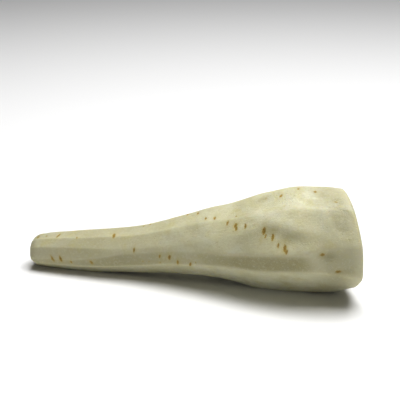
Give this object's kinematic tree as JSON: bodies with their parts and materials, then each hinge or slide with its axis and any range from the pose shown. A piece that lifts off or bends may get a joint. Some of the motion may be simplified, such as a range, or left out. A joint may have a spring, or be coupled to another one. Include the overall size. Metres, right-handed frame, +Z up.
{
  "type": "peeled parsnip root",
  "caption": "Peeled, trimmed parsnip root lying on its side: a long tapering many-sided body from a broad cut crown to a narrow cut tail.",
  "frame": {"origin": "middle of the bounding box's underside, on the surface the root lies on", "axes": "+X from the cut tail to the cut crown, +Z up from the surface the root lies on, -Y the side that faces a viewer who has the crown on the right"},
  "size_m": [0.1822, 0.0568, 0.0565],
  "materials": {
    "peeled_flesh": "satin"
  },
  "bodies": {
    "root": {"parsnip_root": "peeled_flesh"}
  },
  "joints": []
}
